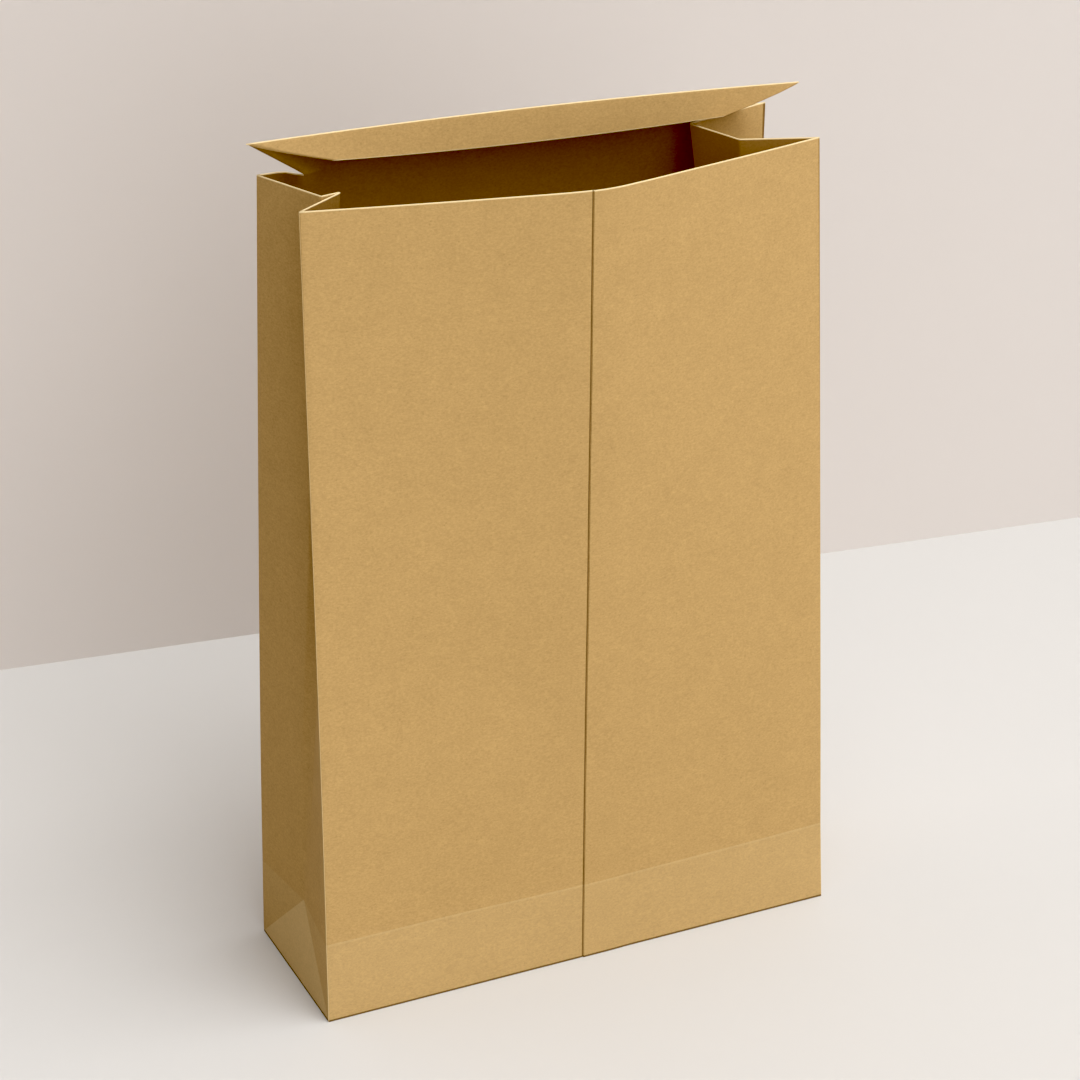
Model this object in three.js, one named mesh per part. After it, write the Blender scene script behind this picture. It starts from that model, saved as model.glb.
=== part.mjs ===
import * as THREE from 'three';

// A tall flat-bottomed kraft paper bag with side gussets. It stands open and empty on z = 0.
// Its rear panel runs on above the mouth as a lip, and the lip is folded over toward the front.
// Millimetres, +Z up. The wide panel with the centre seam faces -Y, the gussets face -X and +X.

// --- driving dimensions ---
const WIDTH = 300;            // bottom, left to right
const DEPTH = 98;             // bottom, front to back
const HEIGHT = 442;           // cut edge of the mouth above the floor
const PAPER = 0.5;            // wall
const FLOOR = 1.2;            // the bottom's folded layers
const TURN_UP = 46;           // bottom fold line across the panels, and the top of each side triangle
const TRIANGLE_DENT = 6;      // how far the side is pressed in at the top of its triangle

// Plan of the mouth: the four upright folds, and each gusset's two inner creases, front then rear.
const MOUTH = {
  left: { front: [-143, -23], rear: [-142, 37.5], creases: [[-114.5, -4], [-125, -6]] },
  right: { front: [141, -23.5], rear: [145, 41], creases: [[102, -9.5], [91.5, 24.5]] },
};
const FRONT_BOW = 52.3;       // the front panel's middle stands out this far at the mouth
const FRONT_BOW_AT = 5;       // and furthest at this place along X
const FRONT_BOW_ROUND = 18;   // half width over which the bow's ridge is rounded
const UPRIGHT_BULGE = { left: { front: -2, rear: 3 }, right: { front: 0, rear: 1 } };
const BULGE_LOW = 0.65;       // below 1, the upright folds bulge most in their lower half

const SEAM_LAP = 18;          // the right half laps over the left at the centre seam
const SEAM_DRAPE = 8;         // and lies down on the panel over this width
const SEAM_STEP = 0.4;        // height of its cut edge
const SEAM_EDGE = 0.3;        // half width of that step

const LIP_FOOT = 120.5;       // half width of the lip where it leaves the mouth, between two notches
const PINCH = { left: 9, right: 4, outward: 5, inward: 13, down: 24 };  // dents at the two notches
const FOLD_LEFT = [-150.5, 26.5, 462];    // ends of the fold along the top of the lip
const FOLD_RIGHT = [150.5, 16.5, 459];
const FOLD_BOW = [1.7, 1.9];  // its middle lies this far back and up from the straight line
const FOLD_SHARP = 0.55;      // 1 is a knife edge, 0 cuts the bend off flat
const FOLD_WIDE = 1.4;        // the two layers are this far apart where they meet in the bend
const FLAP_TAPER = 44;        // the flap's free edge is this much shorter at each end
const FLAP_CURVE = 1.2;       // 1 gives the flap straight ends, and more makes them round
const FLAP_DROP = { left: 14.6, middle: 19, right: 15.8 };
const FLAP_FORWARD = { left: 1, middle: -0.8, right: -0.7 };

// --- small helpers ---
const lerp = (a, b, t) => a + (b - a) * t;
const mix = (a, b, t) => a.map((value, i) => lerp(value, b[i], t));
const point = (x, y, z) => new THREE.Vector3(x, y, z);

// A parabola through three values at -1, 0 and +1.
function through({ left, middle, right }, s) {
  return middle + ((right - left) / 2) * s + ((right + left) / 2 - middle) * s * s;
}

// --- the four upright folds, as [x, y] at height z ---
function upright(side, face, z) {
  const base = [(side === 'left' ? -WIDTH : WIDTH) / 2, (face === 'front' ? -DEPTH : DEPTH) / 2];
  const h = z / HEIGHT;
  const [x, y] = mix(base, MOUTH[side][face], h);
  return [x, y + UPRIGHT_BULGE[side][face] * Math.sin(Math.PI * h ** BULGE_LOW)];
}

// --- front panel: s runs from -1 at the left fold to +1 at the right one ---
function frontPanel(s, z) {
  const [x, y] = mix(upright('left', 'front', z), upright('right', 'front', z), (s + 1) / 2);
  const middle = -lerp(DEPTH / 2, FRONT_BOW, z / HEIGHT);
  const round = FRONT_BOW_ROUND / (WIDTH / 2);
  const peak = FRONT_BOW_AT / (WIDTH / 2);
  const away = (q) => Math.hypot(q - peak, round) - round;
  const bow = 1 - away(s) / away(Math.sign(s - peak));
  return point(x, lerp(y, middle, bow), z);
}

// --- rear panel: s as on the front ---
function rearPanel(s, z) {
  const [x, y] = mix(upright('left', 'rear', z), upright('right', 'rear', z), (s + 1) / 2);
  const off = Math.abs(x) - LIP_FOOT;
  const spread = (off / (off > 0 ? PINCH.outward : PINCH.inward)) ** 2;
  const depth = x < 0 ? PINCH.left : PINCH.right;
  return point(x, y - depth * Math.exp((z - HEIGHT) / PINCH.down - spread), z);
}

// --- gusset: v runs from -1 at the front fold to +1 at the rear one ---
// Up to TURN_UP it is a flat triangle on the bottom edge between two sloping creases. Above that
// the pressed-in side opens steadily into the mouth's plan.
const CREASE_AT = 0.15;       // the inner creases are at -CREASE_AT and +CREASE_AT
function gusset(side, v, z) {
  const outward = side === 'left' ? -1 : 1;
  const [x, y] = mix(upright(side, 'front', z), upright(side, 'rear', z), (v + 1) / 2);
  const dent = TRIANGLE_DENT * Math.min(1 - Math.abs(v), z / TURN_UP);
  if (z <= TURN_UP) return point(x - outward * dent, y, z);

  const { front, rear, creases } = MOUTH[side];
  let plan = mix(creases[0], creases[1], (v / CREASE_AT + 1) / 2);
  if (v < -CREASE_AT) plan = mix(front, creases[0], (v + 1) / (1 - CREASE_AT));
  if (v > CREASE_AT) plan = mix(rear, creases[1], (1 - v) / (1 - CREASE_AT));
  const chord = mix(front, rear, (v + 1) / 2);
  const t = (z - TURN_UP) / (HEIGHT - TURN_UP);
  const inX = (plan[0] - chord[0]) * t - outward * dent * (1 - t);
  return point(x + inX, y + (plan[1] - chord[1]) * t, z);
}

// --- columns of the sheet, anticlockwise round the bag seen from above, from the centre seam ---
const mirrored = (values) => values.map((v) => -v).reverse();
const leafSteps = [1, 0.72, 0.43, CREASE_AT];            // from an upright fold to an inner crease
const gussetSteps = [...leafSteps.map((v) => -v), 0, ...leafSteps.slice(1).reverse()];
const frontSteps = [0.34, 0.51, 0.68, 0.84];
const nearSeam = 0.17;
const seamSteps = [SEAM_EDGE, SEAM_LAP, SEAM_LAP + SEAM_DRAPE].map((x) => x / (WIDTH / 2));
const notchSteps = [1, 0.945, 0.885];                    // rear panel between a fold and a notch
const lipHalf = [1, 0.93, 0.84, 0.7, 0.5, 0.25];
const lipSteps = [...lipHalf, 0, ...mirrored(lipHalf)];

const column = (kind) => (v) => ({ kind, v });
const before = [
  ...[...seamSteps, ...frontSteps].map(column('front')),
  ...gussetSteps.map(column('right')),
  ...notchSteps.map(column('rear')),
];
const columns = [
  ...before,
  ...lipSteps.map(column('lip')),
  ...mirrored(notchSteps).map(column('rear')),
  ...gussetSteps.slice(1).reverse().map(column('left')),
  ...[-1, ...mirrored([nearSeam, ...frontSteps]), -seamSteps[0]].map(column('front')),
];

function onShell({ kind, v }, z) {
  if (kind === 'front') return frontPanel(v, z);
  if (kind === 'rear') return rearPanel(v, z);
  if (kind !== 'lip') return gusset(kind, v, z);
  const [left, right] = [MOUTH.left.rear[0], MOUTH.right.rear[0]];
  return rearPanel((2 * (v * LIP_FOOT - left)) / (right - left) - 1, z);
}

// --- the outside of the sheet, and its triangles facing out ---
const outside = [];
const triangles = [];
const creaseLevels = leafSteps.slice(1).map((v) => TURN_UP * (1 - v));   // where columns meet creases
const levels = [0, ...creaseLevels, TURN_UP, 85, 130, 180, 235, 290, 340, 385, 415, 432, HEIGHT];
levels.forEach((z) => columns.forEach((col) => outside.push(onShell(col, z))));

function quad(a, b, c, d, rising) {
  if (rising) triangles.push([a, b, d], [b, c, d]);
  else triangles.push([a, b, c], [a, c, d]);
}

// Round each side triangle the diagonals follow its two sloping creases.
function followsCrease({ kind, v }) {
  return (kind === 'right' && v >= 0) || (kind === 'left' && v <= 0);
}
const around = columns.length;
for (let level = 0; level + 1 < levels.length; level++) {
  for (let k = 0; k < around; k++) {
    const [a, b] = [level * around + k, level * around + ((k + 1) % around)];
    quad(a, b, b + around, a + around, levels[level] < TURN_UP && followsCrease(columns[k]));
  }
}

// --- the lip: up the neck, round the fold and down the flap ---
const foldHalf = FOLD_RIGHT[0];
function foldAt(x) {
  const t = (x / foldHalf + 1) / 2;
  const bow = 4 * t * (1 - t);
  const [, y, z] = mix(FOLD_LEFT, FOLD_RIGHT, t);
  return point(x, y + bow * FOLD_BOW[0], z + bow * FOLD_BOW[1]);
}
const halfBend = point(0, FOLD_WIDE / 2, 0);
function neckPoint(s, up) {
  return onShell({ kind: 'lip', v: s }, HEIGHT).lerp(foldAt(s * foldHalf).add(halfBend), up);
}
function flapPoint(s, down) {
  const hang = point(0, -through(FLAP_FORWARD, s), -through(FLAP_DROP, s)).multiplyScalar(down);
  return foldAt(s * (foldHalf - FLAP_TAPER * down ** FLAP_CURVE)).sub(halfBend).add(hang);
}
function bendPoint(s) {
  const cut = neckPoint(s, neckRows.at(-1)).lerp(flapPoint(s, flapRows[0]), 0.5);
  return cut.lerp(foldAt(s * foldHalf), FOLD_SHARP);
}
const neckRows = [0.4, 0.75, 0.93];
const flapRows = [0.1, 0.4, 0.75, 1];
const lipRows = [
  ...neckRows.map((up) => (s) => neckPoint(s, up)),
  bendPoint,
  ...flapRows.map((down) => (s) => flapPoint(s, down)),
];
const lipStart = (levels.length - 1) * around + before.length;
let lower = lipSteps.map((s, i) => lipStart + i);
lipRows.forEach((place) => {
  const upper = lipSteps.map((s) => outside.push(place(s)) - 1);
  for (let i = 0; i + 1 < upper.length; i++) {
    quad(lower[i], lower[i + 1], upper[i + 1], upper[i], lipSteps[i] <= 0);
  }
  lower = upper;
});

// --- the inside: each point moves in until it is one wall behind every face it belongs to ---
const PASSES = 60;
const LONGEST_MITRE = 2.4;
function moveIn(normals, wall) {
  const move = point(0, 0, 0);
  for (let pass = 0; pass < PASSES; pass++) {
    normals.forEach((n) => move.addScaledVector(n, -(wall + n.dot(move)) / normals.length));
  }
  return move.clampLength(0, LONGEST_MITRE * wall);
}
const normalsAt = outside.map(() => []);
triangles.forEach((face) => {
  const [a, b, c] = face.map((i) => outside[i]);
  const normal = new THREE.Triangle(a, b, c).getNormal(point(0, 0, 0));
  face.forEach((i) => normalsAt[i].push(normal));
});
const inside = outside.map((p, i) => p.clone().add(moveIn(normalsAt[i], PAPER)));
inside.slice(0, around).forEach((p) => { p.z = FLOOR; });

// --- the seam's upper layer stands out in front of the panel ---
columns.forEach(({ kind, v }, k) => {
  if (kind !== 'front' || v < seamSteps[0] || v > seamSteps[1]) return;
  levels.forEach((z, level) => { outside[level * around + k].y -= SEAM_STEP; });
});

// --- close the solid: inside faces, cut edges, and the bottom's two faces ---
const shift = outside.length;
const faces = [...triangles, ...triangles.map(([a, b, c]) => [a + shift, c + shift, b + shift])];
const directed = new Set(triangles.flatMap(([a, b, c]) => [`${a} ${b}`, `${b} ${c}`, `${c} ${a}`]));
directed.forEach((edge) => {
  const [a, b] = edge.split(' ').map(Number);
  const onBottom = a < around && b < around;
  if (directed.has(`${b} ${a}`) || onBottom) return;
  faces.push([b, a, a + shift], [b, a + shift, b + shift]);
});
const plan = (points) => points.slice(0, around).map((p) => new THREE.Vector2(p.x, p.y));
const bottom = THREE.ShapeUtils.triangulateShape(plan(outside), []);
const floor = THREE.ShapeUtils.triangulateShape(plan(inside), []);
faces.push(...bottom.map(([a, b, c]) => [a, c, b]));
faces.push(...floor.map((face) => face.map((i) => i + shift)));

const geometry = new THREE.BufferGeometry().setFromPoints([...outside, ...inside]);
geometry.setIndex(faces.flat());
geometry.computeVertexNormals();

const kraft = new THREE.MeshStandardMaterial({ color: '#c8a269', roughness: 0.85, metalness: 0 });
kraft.name = 'kraft_paper';

const bag = new THREE.Mesh(geometry, kraft);
bag.name = 'bag';

const object = new THREE.Group();
object.add(bag);

export default object;
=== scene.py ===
# %% [markdown]
# # A flat-bottomed kraft paper bag, standing open
#
# The real bag is one sheet of brown kraft paper. A machine laps its two ends into a centre seam,
# tucks a gusset into each side, folds and glues one end into a flat bottom, and leaves a lip on the
# rear panel that closes over the mouth. We make it in the same order: a blank, score lines, folds,
# then the paper's own thickness, surface and light.
#
# The imported CAD model comes first. It is the frame that every piece has to sit in, so we keep its
# box from before anything else is made.

import math

import bmesh
import bpy
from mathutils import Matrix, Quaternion, Vector, noise


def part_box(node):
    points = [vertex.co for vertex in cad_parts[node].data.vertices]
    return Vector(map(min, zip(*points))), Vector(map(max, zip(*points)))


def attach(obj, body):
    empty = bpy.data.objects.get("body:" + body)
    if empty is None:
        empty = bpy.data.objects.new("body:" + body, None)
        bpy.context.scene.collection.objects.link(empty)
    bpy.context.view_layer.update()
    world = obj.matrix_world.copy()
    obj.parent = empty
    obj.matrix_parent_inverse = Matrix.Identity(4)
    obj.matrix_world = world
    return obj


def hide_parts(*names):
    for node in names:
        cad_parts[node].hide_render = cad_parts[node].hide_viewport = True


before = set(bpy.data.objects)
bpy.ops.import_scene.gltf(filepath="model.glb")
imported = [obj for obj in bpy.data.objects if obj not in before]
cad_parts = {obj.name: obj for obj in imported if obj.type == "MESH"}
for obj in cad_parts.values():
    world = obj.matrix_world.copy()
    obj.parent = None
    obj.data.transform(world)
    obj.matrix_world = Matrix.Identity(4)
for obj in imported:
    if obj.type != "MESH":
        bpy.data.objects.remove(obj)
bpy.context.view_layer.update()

# %% [markdown]
# ## Sizes
#
# The sizes are millimetres, because that is how a bag maker states them. The last modelling step
# scales the finished mesh to metres. A bag's width, depth and height are its bottom's two sides
# and the height of its cut mouth. `TURN_UP` is the fold line that the bottom leaves across the
# panels, half a depth above the floor. The four upright folds run from the bottom's corners to the
# mouth's, which lie closer together.

# %% The bag's sizes
WIDTH, DEPTH, HEIGHT = 300.0, 98.0, 442.0
HALF_WIDTH, HALF_DEPTH = WIDTH / 2, DEPTH / 2
TURN_UP = 46.0
PAPER = 0.5
LEFT, RIGHT, FRONT, REAR = -1, 1, -1, 1
MOUTH_CORNER = {
    (LEFT, FRONT): Vector((-143.0, -23.0)),
    (LEFT, REAR): Vector((-142.0, 37.5)),
    (RIGHT, FRONT): Vector((141.0, -23.5)),
    (RIGHT, REAR): Vector((145.0, 41.0)),
}
METRES = 0.001
NEAR = 0.02                   # places this close together are the same place

low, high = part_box("bag")
node_size = (high - low) / METRES
print("width and depth of the CAD node, mm:", round(node_size.x), round(node_size.y))

# %% [markdown]
# ## The camera
#
# The bag is seen from the left and from above, with little perspective: a long lens far away. The
# place was worked out from the bag's own corners in the photograph. We could turn the camera with
# angles, but a place, a point it looks at and a small roll are easier to read and to change.

# %% The camera
CAMERA_AT = Vector((-615.2, -1295.5, 910.2)) * METRES
LOOKS_AT = Vector((-4.7, 0.0, 232.8)) * METRES
ROLL = math.radians(0.3)

lens = bpy.data.cameras.new("camera")
lens.lens = 100.0
lens.sensor_width = 36.0
camera = bpy.data.objects.new("camera", lens)
camera.location = CAMERA_AT
camera.rotation_mode = "QUATERNION"
aim = (LOOKS_AT - CAMERA_AT).to_track_quat("-Z", "Y")
camera.rotation_quaternion = aim @ Quaternion((0, 0, 1), ROLL)
bpy.context.scene.collection.objects.link(camera)
bpy.context.scene.camera = camera
print("camera distance, m:", round((LOOKS_AT - CAMERA_AT).length, 3))

# %% [markdown]
# ## The blank
#
# A bag could be drawn as four separate walls, but then its corners would not be folds. Here one
# open box stands for the sheet as it comes off the machine: straight walls, a bottom, no top. The
# rear panel runs on above the mouth, where the lip comes from. Its top is still a single edge here,
# so one extrusion makes that strip. Each point of the blank also names its place on the paper, which
# is what the folding step needs later.

# %% An open box with a strip for the lip
NECK = 25.0                   # paper from the mouth to the lip's fold
FLAP = 18.0                   # paper from that fold to the free edge


def middle(edge):
    return (edge.verts[0].co + edge.verts[1].co) / 2


blank = bmesh.new()
bmesh.ops.create_cube(blank, size=1.0)
bmesh.ops.scale(blank, vec=(WIDTH, DEPTH, HEIGHT), verts=blank.verts)
bmesh.ops.translate(blank, vec=(0, 0, HEIGHT / 2), verts=blank.verts)
lid = [face for face in blank.faces if face.normal.z > 0.5]
bmesh.ops.delete(blank, geom=lid, context="FACES_ONLY")
rear_top = [edge for edge in blank.edges if edge.is_boundary and middle(edge).y > HALF_DEPTH - NEAR]
strip = bmesh.ops.extrude_edge_only(blank, edges=rear_top)["geom"]
strip_top = [part for part in strip if isinstance(part, bmesh.types.BMVert)]
bmesh.ops.translate(blank, vec=(0, 0, NECK + FLAP), verts=strip_top)
print("blank:", len(blank.faces), "faces, height with the strip:", max(c.co.z for c in blank.verts))

# %% [markdown]
# ## Score lines
#
# Paper bends where it was scored, and a mesh bends only where it has edges. `bisect_plane` presses
# a straight line into every face that a plane crosses, so it does the work of the scoring wheel. We
# score the places that matter exactly, and fill in between with a regular pitch so that the panels
# can curve. A regular line that falls too close to an exact one is left out. Each edge and corner is
# given to the operator once, always in the same order, so that every run makes the same mesh. A
# Python set would drop the repeats as well, but its order changes from run to run.

# %% Score the walls
PITCH = 3.9                   # regular lines, fine enough for smooth curves
CLEAR = 1.6                   # no regular line comes this close to an exact one
LIP_FOOT = 120.5              # half width of the lip where it leaves the mouth
SEAM_KNOTS = (-2.2, -1.1, -0.4, 0.0, 1.2, 18.0, 26.0)     # across the lap, its cut edge at 0
PALE_STRIP_WIDE = 0.6               # pale strip along a cut edge or beside a pressed line: worn fibres and a painted highlight
FOOT_SHADE = 1.2              # height of the thin painted shadow at the foot
CREASE_AT = 0.15              # the gusset's inner creases, as a share of half the depth
SIDE_STEPS = 13               # regular lines from a gusset's middle to its fold


def notch(side):
    """Where the blank has the end of the lip's foot, which narrows with the rear panel."""
    left, right = MOUTH_CORNER[LEFT, REAR].x, MOUTH_CORNER[RIGHT, REAR].x
    return (side * LIP_FOOT - (left + right) / 2) / (right - left) * WIDTH


def lines(start, stop, exact, steps=None):
    """Regular places between start and stop, with the exact ones in their midst."""
    steps = steps or round((stop - start) / PITCH)
    regular = [start + (stop - start) * i / steps for i in range(1, steps)]
    return sorted(list(exact) + [r for r in regular if all(abs(r - e) > CLEAR for e in exact)])


def score(mesh, place, direction, faces=None):
    """Presses a straight line into the faces where the plane crosses them."""
    chosen = list(faces or mesh.faces)
    edges = list(dict.fromkeys(edge for face in chosen for edge in face.edges))
    corners = list(dict.fromkeys(corner for face in chosen for corner in face.verts))
    bmesh.ops.bisect_plane(
        mesh, geom=corners + edges + chosen, dist=1e-5, plane_co=place, plane_no=direction
    )


gusset_lines = (-CREASE_AT * HALF_DEPTH, 0.0, CREASE_AT * HALF_DEPTH)
for x in lines(-HALF_WIDTH, HALF_WIDTH, (notch(LEFT), *SEAM_KNOTS, notch(RIGHT))):
    score(blank, (x, 0, 0), (1, 0, 0))
for y in lines(-HALF_DEPTH, HALF_DEPTH, gusset_lines, 2 * SIDE_STEPS):
    score(blank, (0, y, 0), (0, 1, 0))
for z in lines(0.0, TURN_UP, (FOOT_SHADE, TURN_UP * (1 - CREASE_AT), TURN_UP - PALE_STRIP_WIDE), SIDE_STEPS):
    score(blank, (0, 0, z), (0, 0, 1))
for z in [TURN_UP] + lines(TURN_UP, HEIGHT, (TURN_UP + PALE_STRIP_WIDE, HEIGHT - PALE_STRIP_WIDE)):
    score(blank, (0, 0, z), (0, 0, 1))
print("scored:", len(blank.faces), "faces; notches at", round(notch(LEFT), 1), round(notch(RIGHT), 1))

# %% [markdown]
# The bottom's folding leaves a triangle at the foot of each side, with two creases that climb at
# about 45 degrees from the bottom corners and meet at the turn-up line. A slanted plane scores
# them. Only the side's own low faces are given to the operator, so the wide panels stay clean. The
# regular lines there were spaced alike up and across, so the creases pass through their crossings
# and leave few slivers.

# %% Score the side triangles
for side in (LEFT, RIGHT):
    for face_y in (FRONT, REAR):
        corner = Vector((side * HALF_WIDTH, face_y * HALF_DEPTH, 0))
        apex = Vector((side * HALF_WIDTH, 0, TURN_UP))
        across = (apex - corner).cross(Vector((1, 0, 0)))
        low_faces = [
            face for face in blank.faces
            if abs(face.calc_center_median().x - corner.x) < NEAR
            and face.calc_center_median().z < TURN_UP
            and face.calc_center_median().y * face_y > 0
        ]
        score(blank, corner, across, low_faces)
print("side triangles scored:", len(blank.faces), "faces")

# %% [markdown]
# ## The lip
#
# The score lines have run up the strip above the rear panel too, and two of them mark the notches.
# We cut the strip off beyond those and score what is left across. Its neck leans forward, then the
# sheet folds back down on itself, and that fold gets its own lines.

# %% Cut and score the lip
BEND = 0.7                    # half the width of that fold's round back


def strip_faces():
    """The faces of the strip above the mouth."""
    return [face for face in blank.faces if face.calc_center_median().z > HEIGHT]


waste = [
    face for face in strip_faces()
    if not notch(LEFT) < face.calc_center_median().x < notch(RIGHT)
]
bmesh.ops.delete(blank, geom=waste, context="FACES")
bend_lines = (NECK - 3 * BEND, NECK - BEND, NECK + BEND, NECK + 3 * BEND)
for z in lines(0.0, NECK + FLAP, (*bend_lines, NECK + FLAP - PALE_STRIP_WIDE)):
    score(blank, (0, 0, HEIGHT + z), (0, 0, 1), strip_faces())
print("cut off:", len(waste), "faces; left in the lip:", len(strip_faces()))

# %% [markdown]
# ## The folded bottom
#
# Seen from below, the side triangles lie innermost, the rear flap lies over them, and the front flap
# covers that and is glued down last. Three thin papers make three levels. Two lines close together
# at each flap's edge let the level change there and nowhere else.

# %% Score and level the underside
LAYER = 0.35                  # one paper and its glue
STEP = 0.4                    # width of a layer's cut edge
FLAP_LAP = 13.0               # the front flap passes the middle by this much
ENDS_FROM = 40.0              # the slanted lines lie further out than this


def underside():
    """The faces of the bag's bottom."""
    level = [face for face in blank.faces if abs(face.normal.z) > 0.5]
    return [face for face in level if face.calc_center_median().z < NEAR]


score(blank, (0, FLAP_LAP, 0), (0, 1, 0), underside())
score(blank, (0, FLAP_LAP + STEP, 0), (0, 1, 0), underside())
for side in (LEFT, RIGHT):
    for face_y in (FRONT, REAR):
        for inset in (0.0, STEP):
            place = (side * (HALF_WIDTH - inset), face_y * HALF_DEPTH, 0)
            end = [face for face in underside() if face.calc_center_median().x * side > ENDS_FROM]
            score(blank, place, (side, -face_y, 0), end)


def underside_level(x, y):
    """Height of the outermost paper at a place under the bottom."""
    to_end = HALF_WIDTH - abs(x) + NEAR
    if y < FLAP_LAP + NEAR and y + HALF_DEPTH < to_end:
        return 0.0
    if HALF_DEPTH - y < to_end:
        return LAYER
    return 2 * LAYER


print("underside levels, mm:", [round(underside_level(*p), 2) for p in ((0, -20), (0, 30), (145, 0))])

# %% [markdown]
# ## The shape of the standing bag
#
# Each panel has one small function that takes a place on the blank and gives its place in space.
# The upright folds lean together toward the mouth and bow a little in their lower half. Everything
# else hangs between them: the front panel stands out along its seam, the rear one is pinched at
# the notches, and the gussets are pressed in, more and more toward the mouth.

# %% The upright folds
FOLD_BULGE = {(LEFT, FRONT): -2.0, (LEFT, REAR): 3.0, (RIGHT, FRONT): 0.0, (RIGHT, REAR): 1.0}
BULGE_LOW = 0.65              # below 1, the folds bulge most in their lower half


def upright(side, face_y, z):
    """Place of an upright fold at height z, as x and y."""
    base = Vector((side * HALF_WIDTH, face_y * HALF_DEPTH))
    place = base.lerp(MOUTH_CORNER[side, face_y], z / HEIGHT)
    place.y += FOLD_BULGE[side, face_y] * math.sin(math.pi * (z / HEIGHT) ** BULGE_LOW)
    return place


# %% [markdown]
# The front panel's middle stands out, so its top edge is a shallow V with a rounded point. The
# right half laps over the left at the seam: its cut edge is a small step that faces left, and past
# the lap the paper settles back on the panel. The bottom's turn-up line is pressed in by half a
# millimetre, and the scored paper stands up in a thin ridge along it, which catches the light.

# %% The front panel
BOW = 52.3                    # the middle stands out this far at the mouth
BOW_AT = 5.0                  # and furthest here
BOW_ROUND = 18.0              # half width over which its point is rounded
SEAM_LIFT = (0.0, -0.1, -0.15, 0.5, 0.42, 0.35, 0.0)      # at SEAM_KNOTS
TURN_UP_PRESS = 0.6           # the panels are pressed in by this much at the turn-up line
TURN_UP_FADE = 60.0           # which fades out upwards over this height
TURN_UP_RIDGE = 0.06


def along(knots, values, x):
    """A value at x, on straight lines between the knots, and level outside them."""
    if x <= knots[0]:
        return values[0]
    for i in range(1, len(knots)):
        if x <= knots[i]:
            share = (x - knots[i - 1]) / (knots[i] - knots[i - 1])
            return values[i - 1] + (values[i] - values[i - 1]) * share
    return values[-1]


def turn_up_press(z):
    """How far a panel is pressed in at height z by the bottom's fold."""
    ridge = TURN_UP_RIDGE if abs(z - TURN_UP) < NEAR else 0.0
    slope = z / TURN_UP if z < TURN_UP else math.exp((TURN_UP - z) / TURN_UP_FADE)
    return TURN_UP_PRESS * slope - ridge


def front_panel(x, z):
    place = upright(LEFT, FRONT, z).lerp(upright(RIGHT, FRONT, z), x / WIDTH + 0.5)
    stand_out = -HALF_DEPTH + (HALF_DEPTH - BOW) * z / HEIGHT

    def away(q):
        return math.hypot(q - BOW_AT, BOW_ROUND) - BOW_ROUND

    bow = 1 - away(x) / away(math.copysign(HALF_WIDTH, x - BOW_AT))
    y = place.y + (stand_out - place.y) * bow + turn_up_press(z)
    return Vector((place.x, y - along(SEAM_KNOTS, SEAM_LIFT, x), z))


print("front panel's middle at the mouth, mm:", [round(v, 1) for v in front_panel(BOW_AT, HEIGHT)])

# %% [markdown]
# The rear panel is plain except near the mouth, where the lip's foot is pulled forward at each
# notch and leaves a small dimple in the paper, deeper at the left.

# %% The rear panel
PINCH_DEPTH = {LEFT: 9.0, RIGHT: 4.0}
PINCH_OUTWARD = 5.0           # the dimple is steep toward the fold
PINCH_INWARD = 13.0           # and gentle toward the middle
PINCH_DOWN = 24.0             # it fades out downwards over this height


def rear_panel(x, z):
    place = upright(LEFT, REAR, z).lerp(upright(RIGHT, REAR, z), x / WIDTH + 0.5)
    off = abs(place.x) - LIP_FOOT
    widths_off = off / (PINCH_OUTWARD if off > 0 else PINCH_INWARD)
    depth = PINCH_DEPTH[LEFT if place.x < 0 else RIGHT]
    pinch = depth * math.exp((z - HEIGHT) / PINCH_DOWN - widths_off ** 2)
    return Vector((place.x, place.y - pinch - turn_up_press(z), z))


# %% [markdown]
# A gusset is a side panel tucked inward. At the foot it is the flat triangle between its two
# creases. Above that, it opens steadily into the plan that the mouth shows: a front leaf, a blunt
# inner end between two creases, and a rear leaf.

# %% The gussets
TRIANGLE_DENT = 6.0           # the side is pressed in by this much at its triangle's top
MOUTH_CREASES = {
    LEFT: (Vector((-114.5, -4.0)), Vector((-125.0, -6.0))),
    RIGHT: (Vector((102.0, -9.5)), Vector((91.5, 24.5))),
}


def gusset(side, y, z):
    """Place of a gusset's point, from the triangle at its foot to its folded plan at the mouth."""
    v = y / HALF_DEPTH
    place = upright(side, FRONT, z).lerp(upright(side, REAR, z), (v + 1) / 2)
    dent = TRIANGLE_DENT * min(1 - abs(v), z / TURN_UP)
    if z <= TURN_UP:
        return Vector((place.x - side * dent, place.y, z))
    front_crease, rear_crease = MOUTH_CREASES[side]
    front_fold, rear_fold = MOUTH_CORNER[side, FRONT], MOUTH_CORNER[side, REAR]
    if v < -CREASE_AT:
        plan = front_fold.lerp(front_crease, (v + 1) / (1 - CREASE_AT))
    elif v > CREASE_AT:
        plan = rear_fold.lerp(rear_crease, (1 - v) / (1 - CREASE_AT))
    else:
        plan = front_crease.lerp(rear_crease, (v / CREASE_AT + 1) / 2)
    opened = (z - TURN_UP) / (HEIGHT - TURN_UP)
    move = (plan - front_fold.lerp(rear_fold, (v + 1) / 2)) * opened
    return Vector((place.x + move.x - side * dent * (1 - opened), place.y + move.y, z))


# %% [markdown]
# The lip widens from its foot to the full width of the flat bag at the fold, and the flap tapers
# again to its free edge, with slightly round ends. The fold is a bend, not a knife edge, so neck
# and flap stay a little apart there. A parabola through a left, middle and right value is enough to
# describe how far the flap drops and how far it leans forward along its length.

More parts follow.
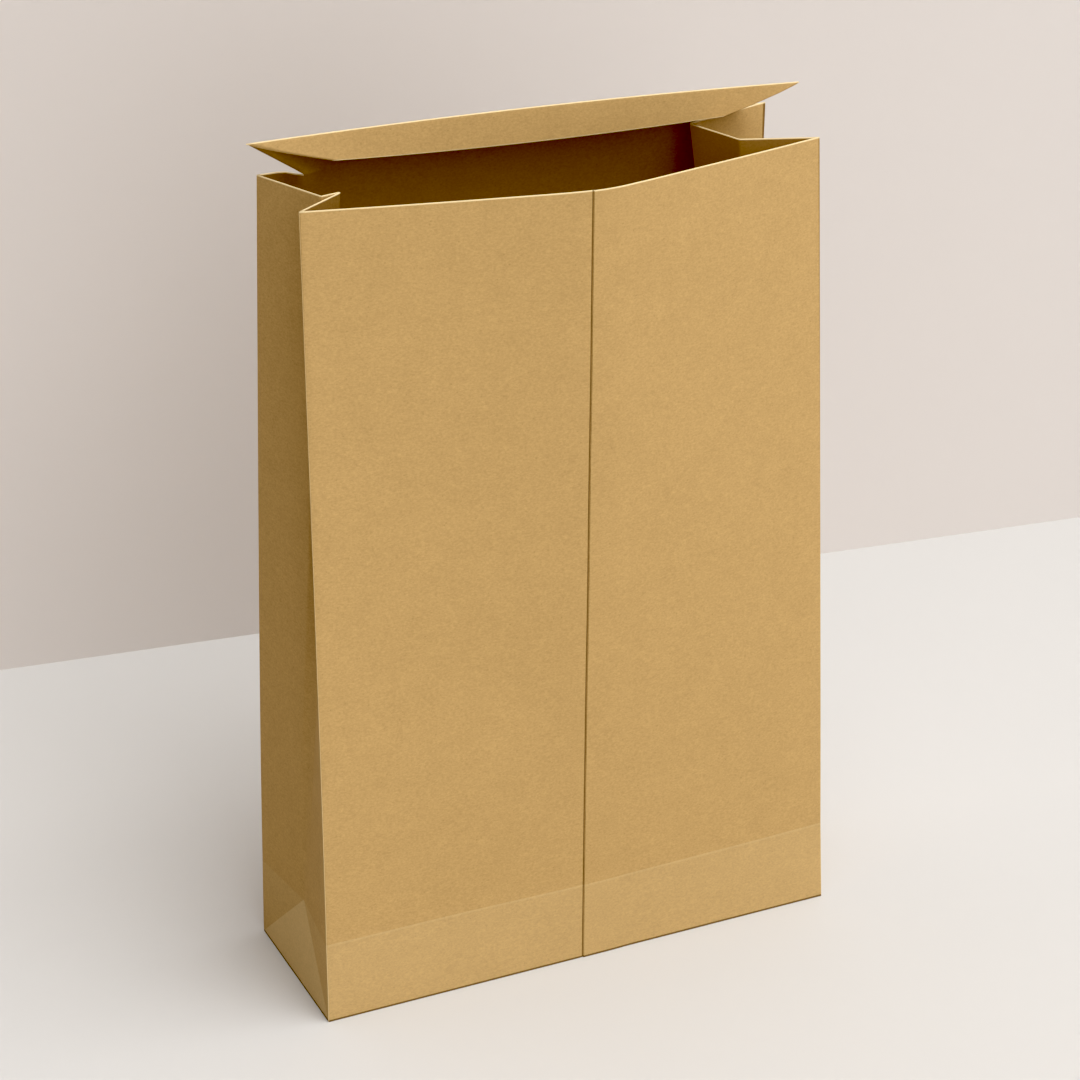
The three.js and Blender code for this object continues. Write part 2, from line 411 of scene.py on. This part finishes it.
# %% The lip
FOLD_ENDS = (Vector((-150.5, 26.5, 462.0)), Vector((150.5, 16.5, 459.0)))
FOLD_BOW = Vector((0.0, 1.7, 1.9))        # the fold's middle lies back and up from a straight line
FLAP_TAPER = 44.0             # the free edge is this much shorter at each end
FLAP_CURVE = 1.2              # 1 gives the flap straight ends, and more makes them round
FLAP_DROP = (13.6, 17.5, 14.7)            # at its left, middle and right
FLAP_FORWARD = (3.0, 2.2, 1.6)


def through(values, s):
    """A parabola through three values at -1, 0 and +1."""
    left, centre, right = values
    return centre + (right - left) / 2 * s + ((right + left) / 2 - centre) * s * s


def lip_fold(x):
    """Place of the fold along the top of the lip."""
    share = x / (FOLD_ENDS[1].x - FOLD_ENDS[0].x) + 0.5
    place = FOLD_ENDS[0].lerp(FOLD_ENDS[1], share) + FOLD_BOW * 4 * share * (1 - share)
    return Vector((x, place.y, place.z))


def lip(x, z):
    """Place of a point of the lip: up the neck, over the bend, then down the flap."""
    s = (2 * x - notch(LEFT) - notch(RIGHT)) / (notch(RIGHT) - notch(LEFT))
    half = FOLD_ENDS[1].x
    back = Vector((0, BEND, 0))
    up = (z - HEIGHT) / (NECK - BEND)
    if z < HEIGHT + NECK - BEND + NEAR:
        return rear_panel(x, HEIGHT).lerp(lip_fold(s * half) + back, up)
    down = max(0.0, z - HEIGHT - NECK - BEND) / (FLAP - BEND)
    hang = Vector((0, -through(FLAP_FORWARD, s), -through(FLAP_DROP, s))) * down
    return lip_fold(s * (half - FLAP_TAPER * down ** FLAP_CURVE)) - back + hang


print("lip's fold, mm:", [[round(v) for v in lip_fold(x)] for x in (-150, 0, 150)])

# %% [markdown]
# ## Mark the folds
#
# Before the points move, the blank tells us which edges are folds, because they still lie on
# straight lines. Outer folds and inner creases will be rounded. The small slanted creases, the
# neck's foot and the seam's cut edge stay sharp, so we switch off smooth shading across them. Three
# marks go on faces for the material. The first makes the paper paler: worn fibres where scored,
# pressed or cut, with a painted highlight along those edges and lines, and painted light that makes
# the side triangles and the rest below the turn-up line paler. `shaded` is a painted shadow, the thin
# dark line beside the seam and at the foot, and `lit_behind` is for paper whose other side stands in
# bright light, where the inner side gets a stronger painted glow.

# %% Find folds and creases
FOLD_ANGLE = math.radians(60)
EDGE_WEAR_AND_HIGHLIGHT = 1.0               # cut edges and the back of the lip's bend: worn fibres and a painted highlight
# painted light on the side triangles, as if lit from above
TRIANGLE_PAINTED_LIGHT = 0.35
# pressed fibres along the turn-up line, with a painted highlight
TURN_UP_WEAR_AND_HIGHLIGHT = 0.2
# painted light on everything else below the turn-up line
LOW_BAND_PAINTED_LIGHT = 0.1


def on(value, *targets):
    return any(abs(value - target) < NEAR for target in targets)


def both(edge, test):
    return all(test(corner.co) for corner in edge.verts)


def is_outer_fold(edge):
    upright_fold = both(edge, lambda p: on(abs(p.x), HALF_WIDTH) and on(abs(p.y), HALF_DEPTH))
    bend = both(edge, lambda p: on(p.z, HEIGHT + NECK - BEND, HEIGHT + NECK + BEND))
    at_foot = both(edge, lambda p: on(p.z, 0)) and edge.calc_face_angle(0) > FOLD_ANGLE
    return upright_fold or bend or at_foot


def is_inner_crease(edge):
    above_turn_up = both(edge, lambda p: p.z > TURN_UP + PITCH)
    on_side = both(edge, lambda p: on(abs(p.x), HALF_WIDTH))
    return above_turn_up and on_side and both(edge, lambda p: on(abs(p.y), CREASE_AT * HALF_DEPTH))


def is_sharp(edge):
    on_side = both(edge, lambda p: on(abs(p.x), HALF_WIDTH))
    slanted = both(edge, lambda p: on(p.z / TURN_UP, 1 - abs(p.y) / HALF_DEPTH))
    across = both(edge, lambda p: on(p.z, TURN_UP))
    seam_edge = both(edge, lambda p: on(p.y, -HALF_DEPTH) and on(p.x, SEAM_KNOTS[2], 0.0))
    neck_foot = both(edge, lambda p: on(p.z, HEIGHT) and on(p.y, HALF_DEPTH))
    return on_side and (slanted or across) or seam_edge or neck_foot


def paleness(place):
    """How pale a place on the blank is made, apart from the folds: worn fibres with a painted
    highlight, and painted light low down.
    """
    under_lip = on(place.y, HALF_DEPTH) and notch(LEFT) < place.x < notch(RIGHT)
    on_side = on(abs(place.x), HALF_WIDTH)
    on_bend = abs(place.z - HEIGHT - NECK) < BEND
    # cut edges and the lip's bend: paler worn fibres and a painted highlight
    if on_bend or place.z > HEIGHT + NECK + FLAP - PALE_STRIP_WIDE:
        return EDGE_WEAR_AND_HIGHLIGHT
    if HEIGHT - PALE_STRIP_WIDE < place.z < HEIGHT and not under_lip:
        return EDGE_WEAR_AND_HIGHLIGHT
    # painted light: below the turn-up line the side triangles are made paler, and the rest a little
    # paler, as if lit from above
    if place.z < TURN_UP - PALE_STRIP_WIDE:
        in_triangle = on_side and place.z / TURN_UP < 1 - abs(place.y) / HALF_DEPTH
        return TRIANGLE_PAINTED_LIGHT if in_triangle else LOW_BAND_PAINTED_LIGHT
    # the turn-up line on the panels: pressed fibres and a painted highlight
    return TURN_UP_WEAR_AND_HIGHLIGHT if place.z < TURN_UP + PALE_STRIP_WIDE and not on_side else 0.0


paired = [edge for edge in blank.edges if len(edge.link_faces) == 2]
outer_folds = [edge for edge in paired if is_outer_fold(edge)]
inner_creases = [edge for edge in paired if is_inner_crease(edge)]
sharp_creases = [edge for edge in paired if is_sharp(edge)]
wear_and_painted_light = blank.faces.layers.float.new("wear_and_painted_light")
shaded = blank.faces.layers.float.new("shaded")
lit_behind = blank.faces.layers.float.new("lit_behind")
for face in blank.faces:
    place = face.calc_center_median()
    # painted shadow: a thin dark line beside the seam's cut edge and along the foot
    beside_seam = SEAM_KNOTS[1] < place.x < SEAM_KNOTS[2] and on(place.y, -HALF_DEPTH)
    # paler for worn fibres, painted highlights and painted light
    face[wear_and_painted_light] = paleness(place)
    face[shaded] = 1.0 if beside_seam or NEAR < place.z < FOOT_SHADE else 0.0
    # strength of the painted glow: full on the gussets, half elsewhere
    face[lit_behind] = 1.0 if on(place.x, HALF_WIDTH) else 0.5
print("edges on outer folds:", len(outer_folds), "on inner creases:", len(inner_creases))
print("edges left sharp:", len(sharp_creases))

# %% [markdown]
# ## Fold the blank
#
# Now each point moves from its place on the blank to its place in the standing bag. Paper is also
# never quite flat, so a slow noise pushes each panel in and out by a fraction of a millimetre. It
# fades out at the folds and at the foot, where the sheet is stiff.

# %% Move every point
WAVE = 0.55                   # how far the paper wanders, at most
WAVE_SIZE = 75.0              # from crest to crest
WAVE_ROOM = 45.0              # it is fully grown this far from a fold
GUSSET_ROOM = 0.6             # and grows more slowly in a gusset


def wave(place, room):
    """How far the sheet wanders at a place, given its distance from the nearest fold."""
    return WAVE * noise.noise(place / WAVE_SIZE) * min(1.0, max(0.0, room) / WAVE_ROOM)


def folded(x, y, z):
    """A place on the blank, moved to where the standing bag has it."""
    if z > HEIGHT + NEAR:
        return lip(x, z)
    if on(y, -HALF_DEPTH):
        place = front_panel(x, z)
        place.y += wave(place, min(HALF_WIDTH - abs(x), z))
    elif on(y, HALF_DEPTH):
        place = rear_panel(x, z)
        place.y += wave(place, min(HALF_WIDTH - abs(x), z, HEIGHT - z))
    elif on(abs(x), HALF_WIDTH):
        place = gusset(math.copysign(1, x), y, z)
        place.x += wave(place, min(HALF_DEPTH - abs(y), z - TURN_UP) * GUSSET_ROOM)
    else:
        place = Vector((x, y, underside_level(x, y)))
    return place


for corner in blank.verts:
    corner.co = folded(*corner.co)
bmesh.ops.recalc_face_normals(blank, faces=blank.faces)
foremost = min(blank.faces, key=lambda face: face.calc_center_median().y)
if foremost.normal.y > 0:
    bmesh.ops.reverse_faces(blank, faces=blank.faces)
print("the front looks to -Y:", foremost.normal.y < 0)

# %% [markdown]
# ## Round the folds
#
# A hard mesh edge reads as sheet metal. Folded kraft has a radius of a little under a millimetre,
# which catches a thin line of light, so we bevel the folds while the sheet is still one layer. On
# the outer folds the faces that the bevel makes are stretched fibres, so they get the pale mark,
# which also paints a highlight along the fold; at the foot they get a painted shadow instead.
# Points that the cuts and bevels left within a hair of each other are then merged, so that no face
# is a sliver.

# %% Bevel the folds
FOLD_RADIUS = 0.65
CREASE_RADIUS = 0.7
FOLD_STEPS = 3
HAIR = 0.03


def rounded(edges, radius):
    """Rounds edges of the blank and returns the new faces."""
    return bmesh.ops.bevel(
        blank, geom=edges, offset=radius, offset_type="OFFSET", affect="EDGES",
        segments=FOLD_STEPS, profile=0.5, material=-1, clamp_overlap=True,
    )["faces"]


for face in blank.faces:
    face.smooth = True
for edge in sharp_creases:
    edge.smooth = False
rounded(inner_creases, CREASE_RADIUS)
outer_faces = rounded(outer_folds, FOLD_RADIUS)
# outer folds: paler stretched fibres with a painted highlight; at the foot, painted shadow
for face in outer_faces:
    at_foot = face.calc_center_median().z < FOLD_RADIUS
    face[wear_and_painted_light] = 0.0 if at_foot else 1.0
    face[shaded] = 1.0 if at_foot else 0.0
print("sheet:", len(blank.faces), "faces,", len(outer_faces), "of them on outer folds")
points = len(blank.verts)
bmesh.ops.remove_doubles(blank, verts=blank.verts, dist=HAIR)
bmesh.ops.scale(blank, vec=(METRES,) * 3, verts=blank.verts)
print("points merged:", points - len(blank.verts))

# %% [markdown]
# ## Give the paper its thickness
#
# The folded sheet becomes an object. A Solidify modifier adds the wall on the inside, so the
# outside stays where it was measured. The sheet's inner side goes into the second material slot and
# its cut edges into the third.

# %% The bag as an object
bag_mesh = bpy.data.meshes.new("paper_bag")
blank.to_mesh(bag_mesh)
blank.free()
bag = bpy.data.objects.new("paper_bag", bag_mesh)
bpy.context.scene.collection.objects.link(bag)
wall = bag.modifiers.new("paper", "SOLIDIFY")
wall.thickness = PAPER * METRES
wall.offset = -1.0
wall.use_quality_normals = True
wall.material_offset = 1
wall.material_offset_rim = 2
print("bag:", len(bag_mesh.polygons), "faces before it has thickness")

# %% [markdown]
# ## Tools for materials
#
# Colours are written as sRGB hex, as a colour chart gives them, and turned to linear once. One
# function adds any node: its own settings come by name, its inputs as a dictionary of values or of
# other nodes' outputs.

# %% Colour and node helpers
def colour(hex_code):
    """An sRGB hex colour as the linear red, green, blue and alpha that the shaders use."""
    parts = [int(hex_code[i:i + 2], 16) / 255 for i in (1, 3, 5)]
    linear = [p / 12.92 if p <= 0.04045 else ((p + 0.055) / 1.055) ** 2.4 for p in parts]
    return (*linear, 1.0)


def add(tree, kind, inputs=None, **settings):
    """Adds one shader node with its settings, and sets or links its inputs."""
    made = tree.nodes.new("ShaderNode" + kind)
    for name, value in settings.items():
        setattr(made, name, value)
    for socket, value in (inputs or {}).items():
        if isinstance(value, bpy.types.NodeSocket):
            tree.links.new(value, made.inputs[socket])
        else:
            made.inputs[socket].default_value = value
    return made


def per_metre(size_mm):
    """Noise scale whose features are about this many millimetres across."""
    return 1 / (size_mm * METRES)


print("a kraft brown in linear light:", [round(part, 3) for part in colour("#c8a269")])

# %% [markdown]
# ## Kraft paper
#
# Unbleached kraft is made from long softwood fibres. It is matt, with a faint cloudiness a
# centimetre across where the pulp lay thicker, a finer mottle, and lighter and darker flecks under
# a millimetre high, drawn out sideways. Scattered dark specks are bits of bark. We build the colour
# from those and let the finer ones also raise the surface a little. The sheet's inner side has a much
# darker colour than its outer side: partly the duller inner side of the sheet, partly painted shade
# for the dim inside of the bag. A torn or cut edge shows paler fibres. Thin paper also lets a trace of
# light through, which warms the inside of a real bag. A very weak warm painted glow on the inner side
# stands in for that, and is stronger where the other side is marked as brightly lit.

# %% The kraft material
# the inner side's darker colour is partly painted shade for the inside of the bag
OUTER_SIDE, INNER_SIDE, CUT_EDGE = "#b99969", "#816641", "#e6d3a6"
# pale colour for worn fibres, painted highlights and painted light
PALE_WEAR_AND_LIGHT, PALE_WEAR_AND_LIGHT_SHARE = "#ecd8ac", 0.68
# painted shadow colour for the seam line and the foot
SHADE, SHADE_DARKER = "#523c20", 0.72
# weak warm painted glow on the inner side, for light through the thin paper
PAINTED_GLOW, PAINTED_GLOW_COLOUR = 0.08, "#ffc37a"
CLOUD, CLOUD_AMOUNT = 14.0, 0.015         # sizes in mm, and how far each changes the shade
MOTTLE, MOTTLE_AMOUNT = 4.5, 0.02
FLECK, FLECK_AMOUNT = 1.5, 0.09
SPECKS_APART, SPECK_DARK = 4.5, 0.86
GRAIN = (1.0, 1.0, 1.6)                   # fibres are this much longer sideways than up


def spread(tree, noise_node, amount):
    """A factor around 1 that follows a noise, whose values mostly lie between 0.35 and 0.65."""
    return add(tree, "MapRange", {
        "Value": noise_node.outputs["Fac"], "From Min": 0.35, "From Max": 0.65,
        "To Min": 1 - amount, "To Max": 1 + amount,
    }, clamp=False).outputs["Result"]


def product(tree, first, second):
    """One factor times another."""
    return add(tree, "Math", {0: first, 1: second}, operation="MULTIPLY").outputs[0]


def tint(tree, first, second, mark, strength):
    """Turns a colour toward a second one where the sheet carries a mark."""
    marked = add(tree, "Attribute", attribute_name=mark).outputs["Fac"]
    share = product(tree, marked, strength)
    inputs = {"Factor": share, 6: first, 7: colour(second)}
    return add(tree, "Mix", inputs, data_type="RGBA").outputs[2]


def kraft_paper(name, base, painted_glow=0.0):
    """Kraft paper of a base colour, with the sheet's marks and a faint painted glow where asked for.
    """
    material = bpy.data.materials.new(name)
    material.use_nodes = True
    tree = material.node_tree
    tree.nodes.clear()
    place = add(tree, "TexCoord").outputs["Object"]
    grain = add(tree, "Mapping", {"Vector": place, "Scale": GRAIN}).outputs["Vector"]
    cloud = add(tree, "TexNoise", {"Vector": place, "Scale": per_metre(CLOUD), "Detail": 3.0})
    mottle = add(tree, "TexNoise", {"Vector": grain, "Scale": per_metre(MOTTLE), "Detail": 3.0})
    fleck = add(tree, "TexNoise", {
        "Vector": grain, "Scale": per_metre(FLECK), "Detail": 4.0, "Roughness": 0.72,
    })

    bark = add(tree, "TexVoronoi", {"Vector": place, "Scale": per_metre(SPECKS_APART)})
    speck = add(tree, "MapRange", {
        "Value": bark.outputs["Distance"], "From Min": 0.05, "From Max": 0.12,
        "To Min": SPECK_DARK, "To Max": 1.0,
    })

    shade = product(tree, spread(tree, cloud, CLOUD_AMOUNT), spread(tree, mottle, MOTTLE_AMOUNT))
    shade = product(tree, shade, spread(tree, fleck, FLECK_AMOUNT))
    shade = product(tree, shade, speck.outputs["Result"])
    fibres = add(tree, "HueSaturation", {"Color": colour(base), "Value": shade}).outputs["Color"]
    # paler for worn fibres, painted highlights and painted light, then darker for the painted shadow
    lighter = tint(tree, fibres, PALE_WEAR_AND_LIGHT, "wear_and_painted_light", PALE_WEAR_AND_LIGHT_SHARE)
    finished = tint(tree, lighter, SHADE, "shaded", SHADE_DARKER)
    behind = add(tree, "Attribute", attribute_name="lit_behind").outputs["Fac"]

    relief = add(tree, "Math", {0: fleck.outputs["Fac"], 1: mottle.outputs["Fac"]}, operation="ADD")
    bump = add(tree, "Bump", {"Height": relief.outputs[0], "Strength": 0.12, "Distance": 0.0003})
    shader = add(tree, "BsdfPrincipled", {
        "Base Color": finished,
        "Normal": bump.outputs["Normal"],
        "Roughness": 0.82,
        "IOR": 1.45,
        "Specular IOR Level": 0.25,
        "Emission Color": colour(PAINTED_GLOW_COLOUR),
        "Emission Strength": product(tree, behind, painted_glow),
    })
    add(tree, "OutputMaterial", {"Surface": shader.outputs[0]})
    return material


bag_mesh.materials.append(kraft_paper("kraft_outer_side", OUTER_SIDE))
bag_mesh.materials.append(kraft_paper("kraft_inner_side", INNER_SIDE, PAINTED_GLOW))
bag_mesh.materials.append(kraft_paper("kraft_cut_edge", CUT_EDGE))
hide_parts("bag")
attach(bag, "root")
print("materials on the bag:", [m.name for m in bag_mesh.materials])

# %% [markdown]
# ## Floor, wall and light
#
# The bag stands on a pale floor with a pale wall a forearm's length behind it. Both are stage, not
# part of the object. The wall is clear when it is looked at from its back, so that the bag's own
# back can be seen. Large soft lamps, seven metres away or more, give the even studio light: one low
# in front, three high ones above, to the front right and to the right, which leave the left side in
# shade, and a weak one at the left that opens that shade a little.

# %% The floor and the wall
def plain_matt(name, base):
    material = bpy.data.materials.new(name)
    material.use_nodes = True
    shader = material.node_tree.nodes["Principled BSDF"]
    shader.inputs["Base Color"].default_value = colour(base)
    shader.inputs["Roughness"].default_value = 0.9
    return material


def clear_from_behind(material):
    """Leaves a surface as it is from its front, and makes it clear from its back."""
    tree = material.node_tree
    from_behind = add(tree, "NewGeometry").outputs["Backfacing"]
    matt = tree.nodes["Principled BSDF"].outputs["BSDF"]
    clear = add(tree, "BsdfTransparent").outputs["BSDF"]
    either = add(tree, "MixShader", {0: from_behind, 1: matt, 2: clear})
    tree.links.new(either.outputs[0], tree.nodes["Material Output"].inputs["Surface"])
    return material


def plane(name, size, material):
    mesh = bpy.data.meshes.new(name)
    shape = bmesh.new()
    bmesh.ops.create_grid(shape, x_segments=1, y_segments=1, size=size / 2)
    shape.to_mesh(mesh)
    shape.free()
    mesh.materials.append(material)
    made = bpy.data.objects.new(name, mesh)
    bpy.context.scene.collection.objects.link(made)
    return made


STAGE_SIZE = 12.0             # metres
WALL_FOOT = Vector((190.0, 365.0, 0.0)) * METRES
WALL_TURN = math.radians(-6.9)
plane("floor", STAGE_SIZE, plain_matt("pale_floor", "#c8c6c3"))
backdrop = plane("wall", STAGE_SIZE, clear_from_behind(plain_matt("pale_wall", "#d5cec9")))
backdrop.rotation_euler = (math.radians(90), 0, WALL_TURN)
backdrop.location = WALL_FOOT
print("wall stands", round(WALL_FOOT.y, 3), "m behind the bag")

# %% The lights
BLACK, WHITE = 0.04, 0.84     # the picture's black and white points, in linear light
AIM = Vector((0.0, 0.0, 0.25))


def soft_light(name, place, side, power):
    """A square lamp, its side in metres and its power in watts, that looks at the bag."""
    lamp = bpy.data.lights.new(name, "AREA")
    lamp.shape = "SQUARE"
    lamp.size = side
    lamp.energy = power
    made = bpy.data.objects.new(name, lamp)
    made.location = place
    made.rotation_euler = (AIM - Vector(place)).to_track_quat("-Z", "Y").to_euler()
    bpy.context.scene.collection.objects.link(made)


soft_light("front", (0.0, -6.85, 1.7), 5.0, 140.0)
soft_light("above", (0.0, -2.15, 6.9), 5.0, 225.0)
soft_light("front right", (1.9, -4.1, 5.6), 5.0, 220.0)
soft_light("right", (6.5, -0.25, 9.6), 8.0, 600.0)
soft_light("left", (-2.65, -5.65, 3.45), 5.0, 30.0)
world = bpy.data.worlds.new("studio")
world.use_nodes = True
world.node_tree.nodes["Background"].inputs["Color"].default_value = colour("#f4f1ee")
world.node_tree.nodes["Background"].inputs["Strength"].default_value = 0.01
bpy.context.scene.world = world
view = bpy.context.scene.view_settings
view.view_transform = "Standard"
view.use_curve_mapping = True
view.curve_mapping.black_level = (BLACK,) * 3
view.curve_mapping.white_level = (WHITE,) * 3
